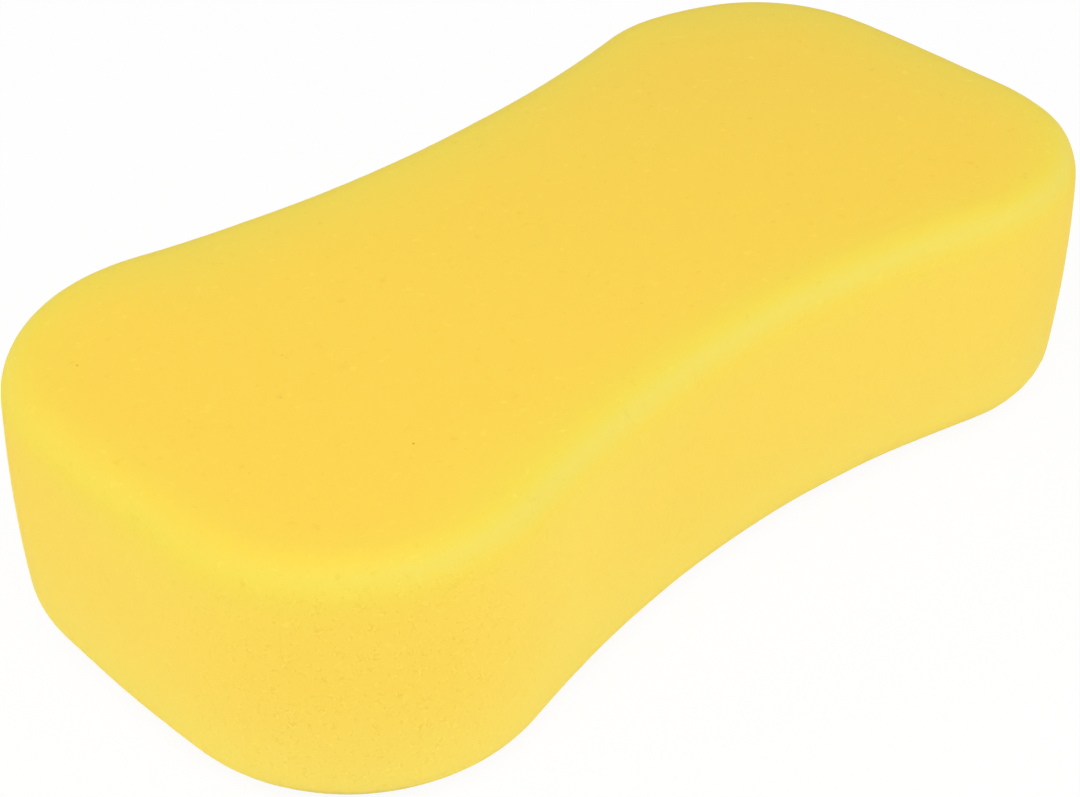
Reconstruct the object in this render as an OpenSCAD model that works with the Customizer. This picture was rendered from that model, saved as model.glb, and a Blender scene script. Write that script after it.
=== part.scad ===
// Cleaning sponge: one block of soft foam, cut to an hourglass outline with
// every edge rounded over. It lies flat, with its length along X, its width
// along Y, and the origin at the middle of its underside.
//
// The outline is a chain of arcs, each tangent to the next: a gently curved
// end, a tight corner, and a long hollow at the waist. The wall's section is
// two edge arcs joined by a slight outward bow. One skin carries that section
// all the way round the outline, and two flat faces close it.

/* [Overall size] */
// Length from end to end
length = 220; // [190:1:260]
// Width across the lobes, at their widest
lobe_width = 111.5; // [106:0.5:130]
// Width across the waist, at its narrowest
waist_width = 93; // [72:0.5:100]
// Thickness of the block
thickness = 51; // [35:1:70]

/* [Curves] */
// Radius of the four corners, seen from above
corner_radius = 38; // [28:1:46]
// Radius of the two ends, seen from above
end_radius = 380; // [220:10:900]
// Radius of the rounding along the top and bottom edges
edge_radius = 7; // [3:0.5:12]
// How far the wall stands out at mid height
wall_bow = 1.2; // [0.4:0.1:2.5]

/* [Hidden] */

foam_colour = "#fbd552";

// Steps along half an end, a corner as far as the widest place and beyond it,
// half a waist, an edge and the wall
end_steps = 3;
corner_steps = 13;
shoulder_steps = 2;
waist_steps = 10;
edge_steps = 6;
wall_steps = 4;

// Outline: each arc's centre, in the quarter where x and y are positive
end_x = length / 2 - end_radius;
corner_y = lobe_width / 2 - corner_radius;
corner_x = end_x + sqrt(pow(end_radius - corner_radius, 2) - pow(corner_y, 2));
waist_rise = waist_width / 2 - corner_y;
waist_radius = (pow(corner_x, 2) + pow(waist_rise, 2) - pow(corner_radius, 2))
    / (2 * (corner_radius - waist_rise));
waist_y = waist_width / 2 + waist_radius;

// Outline: the angles through which half an end and half a waist turn
end_turn = atan2(corner_y, corner_x - end_x);
waist_turn = atan2(corner_x, waist_y - corner_y);

// Section: the radius of the bow, and where it meets the edge arcs
half_thickness = thickness / 2;
bow_radius = (pow(half_thickness, 2) + pow(wall_bow, 2)) / (2 * wall_bow);
bow_turn = asin((half_thickness - edge_radius) / (bow_radius - edge_radius));
edge_inset = bow_radius - (bow_radius - edge_radius) * cos(bow_turn);

// Angles from one direction up to but not including another, in equal steps
function turns(from, to, steps) = [
    for (i = [0:steps - 1]) from + (to - from) * i / steps
];

// Points of the outline along one arc, each with its outward normal. The
// foam lies inside the arc where side is 1, and outside it where side is -1.
function rim(centre, radius, from, to, steps, side = 1) = [
    for (turn = turns(from, to, steps))
        let (out = [cos(turn), sin(turn)])
        [centre + radius * out, side * out]
];

// Points of the section along one arc, as [inset from the outline, height]
function section_arc(inset, height, radius, from, to, steps) = [
    for (turn = turns(from, to, steps))
        [inset - radius * cos(turn), height + radius * sin(turn)]
];

// A point of the outline and its normal, with x and y scaled by 1 or -1
function flip(rim_point, x, y) = [
    for (v = rim_point) [v.x * x, v.y * y]
];

quarter = concat(
    rim([end_x, 0], end_radius, 0, end_turn, end_steps),
    rim([corner_x, corner_y], corner_radius, end_turn, 90, corner_steps),
    rim([corner_x, corner_y], corner_radius, 90, 90 + waist_turn, shoulder_steps),
    rim([0, waist_y], waist_radius, 270 + waist_turn, 270, waist_steps, -1)
);
waist_point = [[0, waist_width / 2], [0, 1]];

// Round from the tip of one end to the tip of the other, along positive y
half_outline = concat(
    quarter,
    [waist_point],
    [for (i = [len(quarter) - 1:-1:0]) flip(quarter[i], -1, 1)]
);
half_count = len(half_outline) - 1;
outline = concat(
    half_outline,
    [for (i = [half_count - 1:-1:1]) flip(half_outline[i], 1, -1)]
);

// Down from the top face, over the wall, to the bottom face
section = concat(
    section_arc(edge_inset, thickness - edge_radius, edge_radius, 90, bow_turn, edge_steps),
    section_arc(bow_radius, half_thickness, bow_radius, bow_turn, -bow_turn, wall_steps),
    section_arc(edge_inset, edge_radius, edge_radius, -bow_turn, -90, edge_steps),
    [[edge_inset, 0]]
);

// A closed skin, with one ring of points for each point of the section
module sponge() {
    count = len(outline);
    rings = len(section) - 1;
    points = [
        for (level = section, place = outline)
            let (spot = place[0] - level.x * place[1])
            [spot.x, spot.y, level.y]
    ];
    wall = [
        for (ring = [0:rings - 1], i = [0:count - 1])
            let (next = (i + 1) % count, top = ring * count, low = top + count)
            [top + i, top + next, low + next, low + i]
    ];
    // Strips across the width, each between two points and their mirror images.
    // A tip is its own mirror image, so the strips there are triangles.
    strips = [
        for (i = [0:half_count - 1])
            [i, i + 1, count - i - 1, (count - i) % count]
    ];
    top_face = [for (strip = strips) [for (k = [3:-1:0]) strip[k]]];
    bottom_face = [for (strip = strips) [for (i = strip) rings * count + i]];
    color(foam_colour)
        polyhedron(points = points, faces = concat(top_face, wall, bottom_face), convexity = 4);
}

sponge();
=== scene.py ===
"""The looks of the cleaning sponge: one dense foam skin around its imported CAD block.

The skin follows the block's own outline and wall section, with the slight
unevenness of cut foam, and a foam material. Everything is in metres, in the
frame of the CAD part: X along the length, Y across the width, Z up.
"""

import bpy
import numpy as np
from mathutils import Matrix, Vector, noise
from mathutils.bvhtree import BVHTree
from mathutils.kdtree import KDTree


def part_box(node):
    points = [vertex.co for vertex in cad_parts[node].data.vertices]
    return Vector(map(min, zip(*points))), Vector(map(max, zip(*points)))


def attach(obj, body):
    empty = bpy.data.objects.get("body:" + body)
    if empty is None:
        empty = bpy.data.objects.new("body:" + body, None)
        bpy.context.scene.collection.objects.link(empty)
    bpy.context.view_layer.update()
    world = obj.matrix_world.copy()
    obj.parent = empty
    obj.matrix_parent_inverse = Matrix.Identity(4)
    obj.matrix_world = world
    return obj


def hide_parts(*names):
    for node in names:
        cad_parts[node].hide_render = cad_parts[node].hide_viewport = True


MM = 0.001

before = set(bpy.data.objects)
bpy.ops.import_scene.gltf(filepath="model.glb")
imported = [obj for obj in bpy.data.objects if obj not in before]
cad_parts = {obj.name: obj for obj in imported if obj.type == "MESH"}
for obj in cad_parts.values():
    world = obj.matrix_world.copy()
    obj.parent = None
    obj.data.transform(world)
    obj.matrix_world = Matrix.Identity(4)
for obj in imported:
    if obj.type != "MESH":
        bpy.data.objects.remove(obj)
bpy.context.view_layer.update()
low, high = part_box("sponge")

# --- Sizes ---

# The block's sizes. The first three are the frame's own, and the rest repeat
# the CAD part's values.
LENGTH, LOBE_WIDTH, THICKNESS = high - low
WAIST_WIDTH = 93 * MM
CORNER_RADIUS = 38 * MM
END_RADIUS = 380 * MM
EDGE_RADIUS = 7 * MM
WALL_BOW = 1.2 * MM

# How far apart the skin's points lie, and with how many points an arc is first
# drawn
SPACING = 1.05 * MM
ARC_POINTS = 240

# The foam isn't cut quite true. In mm: the x and y of a place on the outline, how
# far from there the cut strays, and by how much, outwards or, below 0, inwards.
STRAYS = [
    (0, -46, 28, -0.4),
    (58, -53, 14, 0.3),
    (104, -38, 9, 0.5),
    (109, -12, 18, -0.5),
    (109, 18, 14, 0.5),
    (84, 53, 15, -1.4),
    (5, 47, 36, 0.7),
    (-62, 54, 16, -0.7),
]
# The slight swells of the surface, in mm: the size of one, and its height
SWELLS = [(46, 0.16), (15, 0.06), (2.6, 0.03)]
# The noise's seed, and how far each step of it shifts the noise along each axis
SEED = 7
SEED_STEPS = (11.3, 5.7, 3.1)

# --- Tones: painted light and shade ---

# Colours in linear light: the foam's own, and those that it is mixed with in turn,
# which paint light and shade on it. Each has its share in the skin's attribute of that name.
FOAM = (0.950, 0.641, 0.077, 1)
TONES = {
    "wall": (0.972, 0.697, 0.104, 1),
    "highlight_band": (0.870, 0.707, 0.081, 1),
    "crest": (0.866, 0.714, 0.127, 1),
    "far_shade": (0.790, 0.615, 0.100, 1),
    "bounce_light": (0.942, 0.755, 0.143, 1),
    "contact_shade": (0.740, 0.620, 0.135, 1),
}
# What the foam turns to in its marks and pores: the colour of their painted shade, and
# of the grain's darker tone
DEEP = (0.28, 0.02, 0.0, 1)

# Wall: painted light, which makes the walls paler than the flat faces as the white
# floor's bounce lights them. Its share grows with the slope of the skin, from 0 where
# that is level to 1 where it is upright, and is larger in two places along X: where,
# in mm, and by how much
GAIN_PLACES = (-78, -52, -18, 70, 100, 110)
GAINS = (0, 0.45, 0, 0, 0.15, 0.6)

# Band: a painted highlight along each rounded edge, where the edge turns to the lamps.
# It fades within about this far over the wall, and over the flat face, where it is
# wider towards +X +Y.
WALL_FADE = 5.2 * MM
FACE_FADE = 8.2 * MM
FACE_FADE_CHANGE = 2.4 * MM
FADE_POWER = 1.3
# Its middle lies this far from the edge's own, on the side of the flat face.
# Where the wall faces -X, it moves this far onto the wall, and is fainter.
BAND_RISE = 0.9 * MM
BAND_DROP = 2.8 * MM
BAND_LOSS = 0.22
# Its strength drifts along the edge: the size of a stretch, and by how much
DRIFT_SIZE = 24 * MM
DRIFT = 0.07

# Crest: the middle of the band is the palest, the brightest part of the painted
# highlight. It grows from none to all between these shares of the band, and between
# these slopes of the skin.
CREST_BAND = (0.4, 0.9)
CREST_SLOPES = (0.03, 0.3)

# Painted shade where the surface turns away from the lamps: its share of the band where
# the wall faces +X +Y, and its share of the flat faces in that direction, from none to
# all between these distances from the middle
BAND_SHADE = 0.75
FACE_SHADE = 0.15
FACE_SHADE_DISTANCES = (15 * MM, 60 * MM)

# The paler bottom, painted light of the white floor's bounce: the wall pales from this
# height downwards, slowly at first
BOUNCE_HEIGHT = 30 * MM
BOUNCE_POWER = 1.5

# A painted contact shadow: a thin dark line along the foot of the corner at -X -Y,
# where it meets the floor. It fades between these distances from its middle, and
# between these heights.
CONTACT_SHADE_PLACE = (-97 * MM, -43 * MM)
CONTACT_SHADE_REACH = (6 * MM, 17 * MM)
CONTACT_SHADE_HEIGHTS = (2.8 * MM, 4.4 * MM)

# --- The foam's cells and pores ---

# The cells show most in a few patches of the walls, in mm: each one's middle and
# its reach
PATCHES = [
    (-92, -45, 26, 36),
    (104, 34, 24, 42),
    (24, 48, 28, 42),
    (-84, 52, 20, 30),
]
# The share of its reach at which a patch starts to fade, how clearly the cells show
# elsewhere, and how much of the walls' painted light a patch loses
PATCH_CORE = 0.4
CELLS_ELSEWHERE = 0.35
PATCH_LOSS = 0.35
# How clearly the cells show on a flat face, and the slopes between which they
# come to show as on a wall
CELLS_ON_FACE = 0.3
CELL_SLOPES = (0.2, 0.8)

# The marks of the cells come from noise, whose values lie around 0.5. Each kind of
# mark has the size of its noise and the range of values that makes it.
# Strokes: the rims of the cells, with painted shade on their dark sides and a painted
# highlight on their light sides: the share of light that the dark sides take away, and
# the part of it that the light sides add. A second noise says where they show.
STROKE_SIZE = 0.8 * MM
STROKE_RANGE = (0.40, 0.60)
STROKE = 0.078
LIGHT_SIDE = 0.55
SPREAD_SIZE = 1.4 * MM
SPREAD_RANGE = (0.50, 0.62)
# Grain: the share of light that it takes away or adds
GRAIN_SIZE = 0.55 * MM
GRAIN_RANGE = (0.3, 0.7)
GRAIN = 0.009
# Specks: painted shade and light of dented and raised cells. The share of light that
# one takes away or adds on a flat face, and on a wall
SPECK_SIZE = 2.1 * MM
DARK_RANGE = (0.65, 0.77)
LIGHT_RANGE = (0.23, 0.35)
SPECK = 0.045
WALL_SPECK = 0.018
# How much deeper the yellow is in these marks, for the light that they take away: in
# their painted shade, and in the grain's darker tone
DEEPENING = 0.9

# Small pores, each a spot of painted shade: how far apart they are, from where to where
# one fades as shares of that, and how much light it takes away
PORE_SPACING = 12 * MM
PORE_FADE = (0.012, 0.028)
SMALL_PORE = 0.15
# Single pores and dents, painted as spots of shade without relief, in mm: a place by
# the surface, the radius, and how much light it takes away
PORES = [
    (-93, 28, 51, 0.34, 0.33),
    (-74, -3.5, 51, 0.30, 0.22),
    (-74, -3.2, 51, 1.0, 0.06),
    (-73.3, -2.6, 51, 0.9, 0.04),
    (-66.5, -28.5, 51, 0.30, 0.55),
    (-60.7, -4, 51, 1.6, 0.035),
    (-110, -0.6, 30.5, 1.0, 0.04),
]
# The share of its radius at which one starts to fade
PORE_CORE = 0.3

# The fine relief: the sizes of its cells and of its noise, its height, and the
# share of that which shows
CELL_SIZE = 0.85 * MM
ROUGHNESS_SIZE = 0.45 * MM
RELIEF_HEIGHT = 0.12 * MM
RELIEF_STRENGTH = 0.12
FOAM_FINISH = {
    "Roughness": 0.92,
    "Specular IOR Level": 0.15,
    "Subsurface Weight": 0.25,
    "Subsurface Radius": (1.0, 0.7, 0.2),
    "Subsurface Scale": 2 * MM,
}

# --- Floor and sky ---

# Half the floor's width, and how far it lies below the block, so that the two
# don't share a plane
FLOOR_HALF = 3.0
FLOOR_DROP = 0.2 * MM
FLOOR_WHITE = (0.96, 0.96, 0.96, 1)
# The share of the floor's look that is plain white near the block, and the
# distances from its middle between which that share grows to 1
FLOOR_GLOW = 0.92
FLOOR_FADE = (0.22, 0.9)
WHITE = (1, 1, 1, 1)
# How strongly the sky lights the block
SKY = 0.70

# The sockets of a Mix node that mixes colours
MIX_SHARE, MIX_A, MIX_B = 0, 6, 7
MIX_RESULT = 2


# --- The camera ---


def direction(azimuth, elevation):
    """From the object towards a camera or a lamp. Azimuth 0 is on the -Y side, and 90 on the +X side."""
    azimuth, elevation = np.radians([azimuth, elevation])
    return Vector(
        (
            np.sin(azimuth) * np.cos(elevation),
            -np.cos(azimuth) * np.cos(elevation),
            np.sin(elevation),
        )
    )


def aim(thing, target, azimuth, elevation, distance, roll=0.0):
    """Places a camera or a lamp that far from the target, and turns it to face it."""
    back = direction(azimuth, elevation)
    thing.location = target + back * distance
    turn = back.to_track_quat("Z", "Y").to_matrix().to_4x4()
    thing.rotation_euler = turn.to_euler()
    thing.rotation_euler.rotate_axis("Z", np.radians(roll))


def make_camera():
    data = bpy.data.cameras.new("camera")
    data.lens = 75
    data.sensor_width = 36
    data.clip_start = 0.01
    camera = bpy.data.objects.new("camera", data)
    bpy.context.scene.collection.objects.link(camera)
    target = Vector((2.47, 12.1, 3.71)) * MM
    aim(camera, target, azimuth=-44.58, elevation=36.16, distance=0.4576, roll=0.25)
    bpy.context.scene.camera = camera


# --- The block's outline and section ---


def arc(centre, radius, start, end, side=1):
    """Points along an arc, and their outward normals. side is -1 where the foam lies outside the arc."""
    turn = np.linspace(start, end, ARC_POINTS)
    out = np.stack([np.cos(turn), np.sin(turn)], axis=1)
    return np.hstack([centre + radius * out, side * out])


def quarter_outline():
    """From the tip of the +X end to the middle of the +Y waist: rows of x, y and the normal's x, y."""
    end_x = LENGTH / 2 - END_RADIUS
    corner_y = LOBE_WIDTH / 2 - CORNER_RADIUS
    corner_x = end_x + np.sqrt((END_RADIUS - CORNER_RADIUS) ** 2 - corner_y**2)
    rise = WAIST_WIDTH / 2 - corner_y
    waist_radius = (corner_x**2 + rise**2 - CORNER_RADIUS**2) / (2 * (CORNER_RADIUS - rise))
    waist_y = WAIST_WIDTH / 2 + waist_radius
    end_turn = np.arctan2(corner_y, corner_x - end_x)
    waist_turn = np.arctan2(corner_x, waist_y - corner_y)
    down = 1.5 * np.pi
    return [
        arc((end_x, 0), END_RADIUS, 0, end_turn),
        arc((corner_x, corner_y), CORNER_RADIUS, end_turn, np.pi / 2 + waist_turn),
        arc((0, waist_y), waist_radius, down + waist_turn, down, side=-1),
    ]


def lengths(rows):
    """How far along a curve each of its points lies."""
    steps = np.hypot(*np.diff(rows[:, :2], axis=0).T)
    return np.concatenate([[0], np.cumsum(steps)])


def strayed(rows):
    """The outline with its small errors of cutting."""
    rows = rows.copy()
    for x, y, reach, amount in np.array(STRAYS) * MM:
        away = np.hypot(rows[:, 0] - x, rows[:, 1] - y)
        rows[:, :2] += rows[:, 2:] * (amount * np.exp(-((away / reach) ** 2)))[:, None]
    return rows


def even(rows, places):
    """The curve's points and normals at these distances along it."""
    along = lengths(rows)
    return np.stack([np.interp(places, along, column) for column in rows.T], axis=1)


def outline():
    """The whole outline, counterclockwise from the middle of the corner at +X -Y, evenly spaced.

    Also the number of steps on an end and on a long side, each of which runs from the middle of one
    corner to the middle of the next.
    """
    arcs = quarter_outline()
    quarter = np.vstack(arcs)
    far = quarter[::-1] * (-1, 1, -1, 1)
    upper = np.vstack([quarter, far])
    lower = upper[::-1] * (1, -1, 1, -1)
    loop = np.vstack([upper, lower])
    total = lengths(loop)[-1]
    to_corner = lengths(arcs[0])[-1] + lengths(arcs[1])[-1] / 2
    end_steps = round(2 * to_corner / SPACING)
    side_steps = round((total / 2 - 2 * to_corner) / SPACING)
    ends = np.arange(end_steps) / end_steps * 2 * to_corner
    sides = 2 * to_corner + np.arange(side_steps) / side_steps * (total / 2 - 2 * to_corner)
    half = np.concatenate([ends, sides])
    places = (np.concatenate([half, half + total / 2]) - to_corner) % total
    return strayed(even(loop, places)), end_steps, side_steps


def section():
    """Down over the wall, evenly spaced: rows of inset from the outline, height, and the normal's parts.

    Also how far in the rounding ends, and how far each row lies past the middle of the nearer rounding.
    """
    half = THICKNESS / 2
    bow = (half**2 + WALL_BOW**2) / (2 * WALL_BOW)
    turn = np.arcsin((half - EDGE_RADIUS) / (bow - EDGE_RADIUS))
    inset = bow - (bow - EDGE_RADIUS) * np.cos(turn)
    rows = np.vstack(
        [
            arc((-inset, THICKNESS - EDGE_RADIUS), EDGE_RADIUS, np.pi / 2, turn),
            arc((-bow, half), bow, turn, -turn),
            arc((-inset, EDGE_RADIUS), EDGE_RADIUS, -turn, -np.pi / 2),
        ]
    )
    total = lengths(rows)[-1]
    places = np.linspace(0, total, round(total / SPACING) + 1)
    crest = EDGE_RADIUS * (np.pi / 2 - turn) / 2
    past_crest = np.minimum(places, total - places) - crest
    return even(rows, places), inset, past_crest


# --- The skin ---


def fill(rim, across, along):
    """Points over the flat face inside a closed rim, as a grid between its four sides."""
    right = rim[: across + 1]
    back = rim[across : across + along + 1][::-1]
    left = rim[across + along : 2 * across + along + 1][::-1]
    front = np.vstack([rim[2 * across + along :], rim[:1]])
    u = np.linspace(0, 1, along + 1)[:, None, None]
    v = np.linspace(0, 1, across + 1)[None, :, None]
    straight = (
        (1 - u) * (1 - v) * front[0]
        + u * (1 - v) * front[-1]
        + (1 - u) * v * back[0]
        + u * v * back[-1]
    )
    lengthways = (1 - v) * front[:, None] + v * back[:, None]
    crossways = (1 - u) * left[None] + u * right[None]
    return lengthways + crossways - straight


def face_ids(first_of_ring, count, first_inside, across, along):
    """The numbers of a flat face's points, in fill()'s grid: its edge is a ring of the wall's points."""
    ring = first_of_ring + np.arange(count)
    ids = np.empty((along + 1, across + 1), int)
    ids[-1] = ring[: across + 1]
    ids[:, -1] = ring[across : across + along + 1][::-1]
    ids[0] = ring[across + along : 2 * across + along + 1][::-1]
    ids[:, 0] = np.append(ring[2 * across + along :], ring[0])
    inside = (along - 1) * (across - 1)
    ids[1:-1, 1:-1] = first_inside + np.arange(inside).reshape(along - 1, across - 1)
    return ids


def quads(ids):
    """The faces between the points of a grid."""
    return np.stack([ids[:-1, :-1], ids[1:, :-1], ids[1:, 1:], ids[:-1, 1:]], axis=-1).reshape(-1, 4)


def nearest(points, others):
    """Which of the others each point is nearest to, and how far it lies from there."""
    tree = KDTree(len(others))
    for i, other in enumerate(others):
        tree.insert((*other, 0), i)
    tree.balance()
    found = [tree.find((*point, 0)) for point in points]
    return np.array([index for _, index, _ in found]), np.array([away for _, _, away in found])


def painted_highlight_band(past_crest, out):
    """The share of the painted highlight band, by the distance from an edge's middle and the way the
    wall faces.
    """
    leftward = np.maximum(-out[..., 0], 0)
    away = past_crest + BAND_RISE - BAND_DROP * leftward
    face_fade = FACE_FADE + FACE_FADE_CHANGE * (out[..., 0] + out[..., 1]) / np.sqrt(2)
    fade = np.where(away > 0, WALL_FADE, face_fade)
    strength = 1 - BAND_LOSS * leftward**2
    return strength * np.exp(-(np.abs(away / fade) ** FADE_POWER))


def skin_points():
    """The points, normals and faces of the skin before its swells.

    Also each point's share of the painted highlight band, and the way that the nearest wall faces.
    """
    rim, across, along = outline()
    wall, inset, past_crest = section()
    count, levels = len(rim), len(wall)
    place, out = rim[:, :2], rim[:, 2:]
    ring_xy = place[None] + wall[:, :1, None] * out[None]
    ring_z = np.broadcast_to(wall[:, 1, None, None], (levels, count, 1))
    normal_xy = wall[:, 2, None, None] * out[None]
    normal_z = np.broadcast_to(wall[:, 3, None, None], (levels, count, 1))
    points = [np.concatenate([ring_xy, ring_z], axis=2).reshape(-1, 3)]
    normals = [np.concatenate([normal_xy, normal_z], axis=2).reshape(-1, 3)]
    flat_rim = place - inset * out
    inner = fill(flat_rim, across, along)[1:-1, 1:-1].reshape(-1, 2)
    closest, away = nearest(inner, flat_rim)
    face_band = painted_highlight_band(past_crest[0] - away, out[closest])
    wall_band = painted_highlight_band(past_crest[:, None], out[None])
    highlight_band = np.concatenate([wall_band.ravel(), face_band, face_band])
    facing = np.concatenate([np.tile(out, (levels, 1)), out[closest], out[closest]])
    for height, up in ((THICKNESS, 1), (0, -1)):
        points.append(np.column_stack([inner, np.full(len(inner), height)]))
        normals.append(np.tile((0, 0, up), (len(inner), 1)))
    rings = np.arange(levels * count).reshape(levels, count)
    rings = np.column_stack([rings, rings[:, :1]])
    first = levels * count
    top = face_ids(0, count, first, across, along)
    bottom = face_ids(first - count, count, first + len(inner), across, along)
    faces = np.vstack([quads(rings), quads(top), quads(bottom)[:, ::-1]])
    return np.vstack(points), np.vstack(normals), faces, highlight_band, facing


def swell(points, size, seed):
    """Smooth noise from about -1 to 1, with swells of that size."""
    shift = Vector([seed * step for step in SEED_STEPS])
    return np.array([noise.noise(Vector(p) / size + shift) for p in points])


def painted_crest_highlight(highlight_band, upright, normals):
    """The share of the palest painted highlight, along the middle of the band. It fades out towards -X.
    """
    share = np.interp(highlight_band, CREST_BAND, (0, 1)) * np.interp(upright, CREST_SLOPES, (0, 1))
    return share * (1 - np.maximum(-normals[:, 0], 0))


def far_shade_share(points, upright, highlight_band, facing):
    """The share of the painted shade, which grows towards +X +Y, away from the lamps."""
    towards = points[:, :2].sum(axis=1) / np.sqrt(2)
    on_band = np.maximum(facing.sum(axis=1), 0) / np.sqrt(2)
    on_face = np.interp(towards, FACE_SHADE_DISTANCES, (0, 1))
    return BAND_SHADE * highlight_band * on_band + FACE_SHADE * (1 - upright) * on_face


def painted_contact_shadow(points):
    """The share of the painted contact shadow, a dark line along the foot of one corner."""
    away = np.linalg.norm(points[:, :2] - CONTACT_SHADE_PLACE, axis=1)
    return np.interp(away, CONTACT_SHADE_REACH, (1, 0)) * np.interp(points[:, 2], CONTACT_SHADE_HEIGHTS, (1, 0))


def cell_patches(points):
    """1 in the middle of a patch where the foam's cells show clearly, and 0 outside its reach."""
    clear = np.zeros(len(points))
    for *middle, reach in np.array(PATCHES) * MM:
        away = np.linalg.norm(points - middle, axis=1)
        clear = np.maximum(clear, np.interp(away / reach, (PATCH_CORE, 1), (1, 0)))
    return clear


def attributes(points, normals, highlight_band, facing):
    """Each point's share of every colour in TONES, all of them painted light and shade, and how clearly
    the cells show there.
    """
    highlight_band = np.clip(highlight_band + DRIFT * swell(points, DRIFT_SIZE, SEED), 0, 1)
    upright = 1 - np.abs(normals[:, 2])
    clear = cell_patches(points)
    gain = np.interp(points[:, 0] / MM, GAIN_PLACES, GAINS)
    cells = np.interp(upright, CELL_SLOPES, (CELLS_ON_FACE, 1))
    return {
        "wall": upright * (1 + gain - PATCH_LOSS * clear),
        "highlight_band": highlight_band,
        "crest": painted_crest_highlight(highlight_band, upright, normals),
        "far_shade": far_shade_share(points, upright, highlight_band, facing),
        "bounce_light": np.clip(1 - points[:, 2] / BOUNCE_HEIGHT, 0, 1) ** BOUNCE_POWER,
        "contact_shade": painted_contact_shadow(points),
        "cells": cells * np.interp(clear, (0, 1), (CELLS_ELSEWHERE, 1)),
    }


def make_skin():
    """The skin, and its surface as a tree in which the nearest place can be found."""
    points, normals, faces, highlight_band, facing = skin_points()
    values_by_name = attributes(points, normals, highlight_band, facing)
    for i, (size, height) in enumerate(SWELLS):
        points = points + normals * (height * MM * swell(points, size * MM, SEED + i))[:, None]
    points[:, 2] = np.maximum(points[:, 2], 0)
    mesh = bpy.data.meshes.new("foam_block")
    mesh.from_pydata(points.tolist(), [], faces.tolist())
    mesh.validate()
    mesh.shade_smooth()
    for name, values in values_by_name.items():
        mesh.attributes.new(name, "FLOAT", "POINT").data.foreach_set("value", values.astype(np.float32))
    block = bpy.data.objects.new("foam_block", mesh)
    bpy.context.scene.collection.objects.link(block)
    surface = BVHTree.FromPolygons(points.tolist(), faces.tolist())
    return block, surface


# --- Materials ---


class Nodes:
    """Short calls to add and link a material's nodes."""

    def __init__(self, name):
        self.material = bpy.data.materials.new(name)
        self.material.use_nodes = True
        self.tree = self.material.node_tree
        self.shader = self.tree.nodes["Principled BSDF"]
        self.place = self.add("TexCoord").outputs["Object"]

    def add(self, kind, settings=None, **inputs):
        node = self.tree.nodes.new("ShaderNode" + kind)
        for key, value in (settings or {}).items():
            setattr(node, key, value)
        for key, value in inputs.items():
            self.put(value, node.inputs[key.replace("_", " ")])
        return node

    def put(self, value, socket):
        if isinstance(value, bpy.types.NodeSocket):
            self.tree.links.new(value, socket)
        else:
            socket.default_value = value

    def attribute(self, name):
        return self.add("Attribute", {"attribute_name": name}).outputs["Fac"]

    def math(self, operation, a, b=0.0):
        node = self.add("Math", {"operation": operation})
        self.put(a, node.inputs[0])
        self.put(b, node.inputs[1])
        return node.outputs[0]

    def distance(self, a, b):
        node = self.add("VectorMath", {"operation": "DISTANCE"})
        self.put(a, node.inputs[0])
        self.put(b, node.inputs[1])
        return node.outputs["Value"]

    def remap(self, value, low, high, to_low, to_high):
        """The value moved from one range to another, and kept within the new one."""
        node = self.add("MapRange")
        for key, number in zip(
            ("Value", "From Min", "From Max", "To Min", "To Max"),
            (value, low, high, to_low, to_high),
        ):
            self.put(number, node.inputs[key])
        return node.outputs[0]

    def mix(self, share, a, b):
        """A mix of two colours. A share below 0 takes the first one further from the second."""
        node = self.add("Mix", {"data_type": "RGBA", "clamp_factor": False})
        self.put(share, node.inputs[MIX_SHARE])
        self.put(a, node.inputs[MIX_A])
        self.put(b, node.inputs[MIX_B])
        return node.outputs[MIX_RESULT]

    def noise(self, size):
        """Smooth noise from 0 to 1, mostly near the middle, with features of that size."""
        return self.add("TexNoise", Vector=self.place, Scale=1 / size, Detail=2.0).outputs["Fac"]

    def cells(self, size):
        """How far each place lies from the heart of its cell, as a share of that size."""
        return self.add("TexVoronoi", Vector=self.place, Scale=1 / size).outputs["Distance"]


def strokes(nodes):
    """Where the rims of the cells show, here and there: fine strokes with painted shade on one side and
    a painted highlight on the other.
    """
    turn = nodes.remap(nodes.noise(STROKE_SIZE), *STROKE_RANGE, -np.pi, np.pi)
    sides = nodes.math("MAXIMUM", nodes.math("SINE", turn), -LIGHT_SIDE)
    shown = nodes.remap(nodes.noise(SPREAD_SIZE), *SPREAD_RANGE, 0, STROKE)
    return nodes.math("MULTIPLY", sides, shown)


def specks(nodes):
    """Faint specks everywhere, painted shade and light of dented and raised cells: some darker than the
    rest and some lighter.
    """
    blots = nodes.noise(SPECK_SIZE)
    dark = nodes.remap(blots, *DARK_RANGE, 0, 1)
    light = nodes.remap(blots, *LIGHT_RANGE, -1, 0)
    strength = nodes.remap(nodes.attribute("wall"), 0, 1, SPECK, WALL_SPECK)
    return nodes.math("MULTIPLY", nodes.math("ADD", dark, light), strength)


def marks(nodes):
    """How much light the foam's cells take away or, below 0, add: painted shade and light in the strokes
    and specks, and the grain's own tone.
    """
    grain = nodes.remap(nodes.noise(GRAIN_SIZE), *GRAIN_RANGE, GRAIN, -GRAIN)
    clear = nodes.math("MULTIPLY", nodes.math("ADD", strokes(nodes), grain), nodes.attribute("cells"))
    return nodes.math("ADD", clear, specks(nodes))


def pores(nodes, surface):
    """How much light the pores and dents take away, as painted shade: small ones all over, and each
    single one.
    """
    taken = nodes.remap(nodes.cells(PORE_SPACING), *PORE_FADE, SMALL_PORE, 0)
    for *spot, radius, depth in PORES:
        middle = surface.find_nearest(Vector(spot) * MM)[0]
        away = nodes.distance(nodes.place, middle)
        share = nodes.remap(away, PORE_CORE * radius * MM, radius * MM, depth, 0)
        taken = nodes.math("MAXIMUM", share, taken)
    return taken


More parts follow.
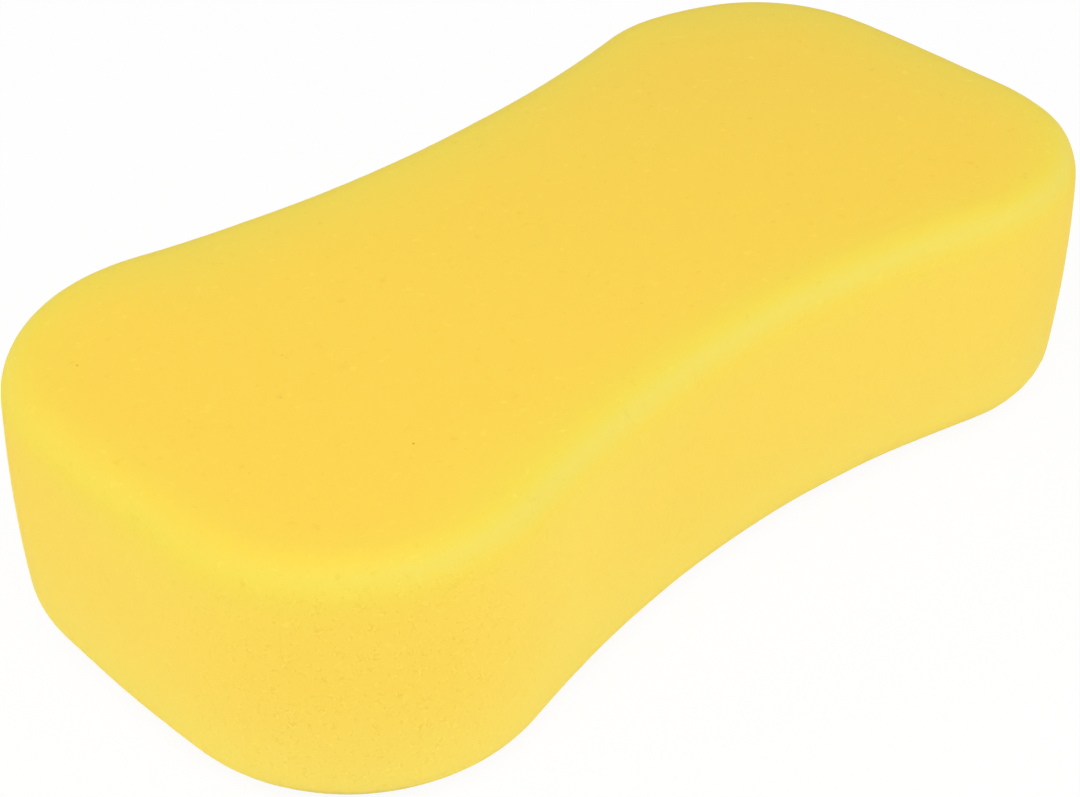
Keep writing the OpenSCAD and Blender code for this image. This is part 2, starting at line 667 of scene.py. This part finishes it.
def foam_colour(nodes, surface):
    """The foam's yellow with its tones of painted light and shade, deeper in the marks, and darker in
    them and in the pores.
    """
    colour = FOAM
    for name, tone in TONES.items():
        colour = nodes.mix(nodes.attribute(name), colour, tone)
    taken = marks(nodes)
    deeper = nodes.math("ADD", nodes.math("MULTIPLY", taken, DEEPENING), 1.0)
    colour = nodes.add("Gamma", Color=colour, Gamma=deeper).outputs["Color"]
    taken = nodes.math("ADD", pores(nodes, surface), taken)
    return nodes.mix(taken, colour, DEEP)


def foam_relief(nodes):
    """The fine relief of the cells."""
    height = nodes.math("ADD", nodes.cells(CELL_SIZE), nodes.noise(ROUGHNESS_SIZE))
    bump = nodes.add("Bump", Strength=RELIEF_STRENGTH, Distance=RELIEF_HEIGHT, Height=height)
    return bump.outputs["Normal"]


def foam_material(surface):
    nodes = Nodes("foam")
    nodes.put(foam_colour(nodes, surface), nodes.shader.inputs["Base Color"])
    nodes.put(foam_relief(nodes), nodes.shader.inputs["Normal"])
    for name, value in FOAM_FINISH.items():
        nodes.put(value, nodes.shader.inputs[name])
    return nodes.material


def seen_directly(tree):
    """1 for what the camera sees straight, in a reflection or through glass."""
    path = tree.nodes.new("ShaderNodeLightPath")
    share = path.outputs["Is Camera Ray"]
    for other in ("Is Glossy Ray", "Is Transmission Ray"):
        either = tree.nodes.new("ShaderNodeMath")
        either.operation = "MAXIMUM"
        tree.links.new(share, either.inputs[0])
        tree.links.new(path.outputs[other], either.inputs[1])
        share = either.outputs[0]
    return share


def floor_material():
    """A white floor that keeps a soft shadow, and looks mostly plain white where it is seen itself.

    Far from the block it is all white, so it meets the white background without an edge.
    """
    nodes = Nodes("white_floor")
    nodes.put(FLOOR_WHITE, nodes.shader.inputs["Base Color"])
    nodes.put(1.0, nodes.shader.inputs["Roughness"])
    nodes.put(0.0, nodes.shader.inputs["Specular IOR Level"])
    glow = nodes.add("Emission", Color=WHITE, Strength=1.0)
    away = nodes.distance(nodes.place, (0, 0, 0))
    white = nodes.remap(away, *FLOOR_FADE, FLOOR_GLOW, 1)
    share = nodes.math("MULTIPLY", seen_directly(nodes.tree), white)
    mix = nodes.add("MixShader")
    nodes.put(share, mix.inputs[0])
    nodes.put(nodes.shader.outputs[0], mix.inputs[1])
    nodes.put(glow.outputs[0], mix.inputs[2])
    nodes.put(mix.outputs[0], nodes.tree.nodes["Material Output"].inputs["Surface"])
    return nodes.material


# --- The studio ---


def make_floor():
    half = FLOOR_HALF
    corners = [(-half, -half, 0), (half, -half, 0), (half, half, 0), (-half, half, 0)]
    mesh = bpy.data.meshes.new("floor")
    mesh.from_pydata(corners, [], [(0, 1, 2, 3)])
    floor = bpy.data.objects.new("floor", mesh)
    floor.location.z = -FLOOR_DROP
    floor.data.materials.append(floor_material())
    bpy.context.scene.collection.objects.link(floor)


def make_world():
    """A plain sky that lights the object, and looks pure white where it is seen itself."""
    world = bpy.data.worlds.new("studio")
    world.use_nodes = True
    tree = world.node_tree
    sky = tree.nodes["Background"]
    sky.inputs["Color"].default_value = WHITE
    sky.inputs["Strength"].default_value = SKY
    seen = tree.nodes.new("ShaderNodeBackground")
    seen.inputs["Color"].default_value = WHITE
    seen.inputs["Strength"].default_value = 1.0
    mix = tree.nodes.new("ShaderNodeMixShader")
    tree.links.new(seen_directly(tree), mix.inputs["Fac"])
    tree.links.new(sky.outputs[0], mix.inputs[1])
    tree.links.new(seen.outputs[0], mix.inputs[2])
    tree.links.new(mix.outputs[0], tree.nodes["World Output"].inputs["Surface"])
    bpy.context.scene.world = world


def make_lamp(name, azimuth, elevation, distance, width, power):
    """A round soft lamp, aimed at the middle of the block."""
    data = bpy.data.lights.new(name, "AREA")
    data.shape = "DISK"
    data.size = width
    data.energy = power
    lamp = bpy.data.objects.new(name, data)
    bpy.context.scene.collection.objects.link(lamp)
    aim(lamp, Vector((0, 0, THICKNESS / 2)), azimuth, elevation, distance)


def make_lamps():
    make_lamp("front", azimuth=-45, elevation=60, distance=0.65, width=0.5, power=1.157)
    make_lamp("left", azimuth=-112, elevation=28, distance=0.8, width=0.5, power=0.72)
    make_lamp("right", azimuth=22, elevation=22, distance=0.8, width=0.5, power=0.69)


make_camera()
foam_block, surface = make_skin()
foam_block.data.materials.append(foam_material(surface))
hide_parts("sponge")
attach(foam_block, "root")
make_floor()
make_world()
make_lamps()
bpy.context.scene.view_settings.view_transform = "Standard"
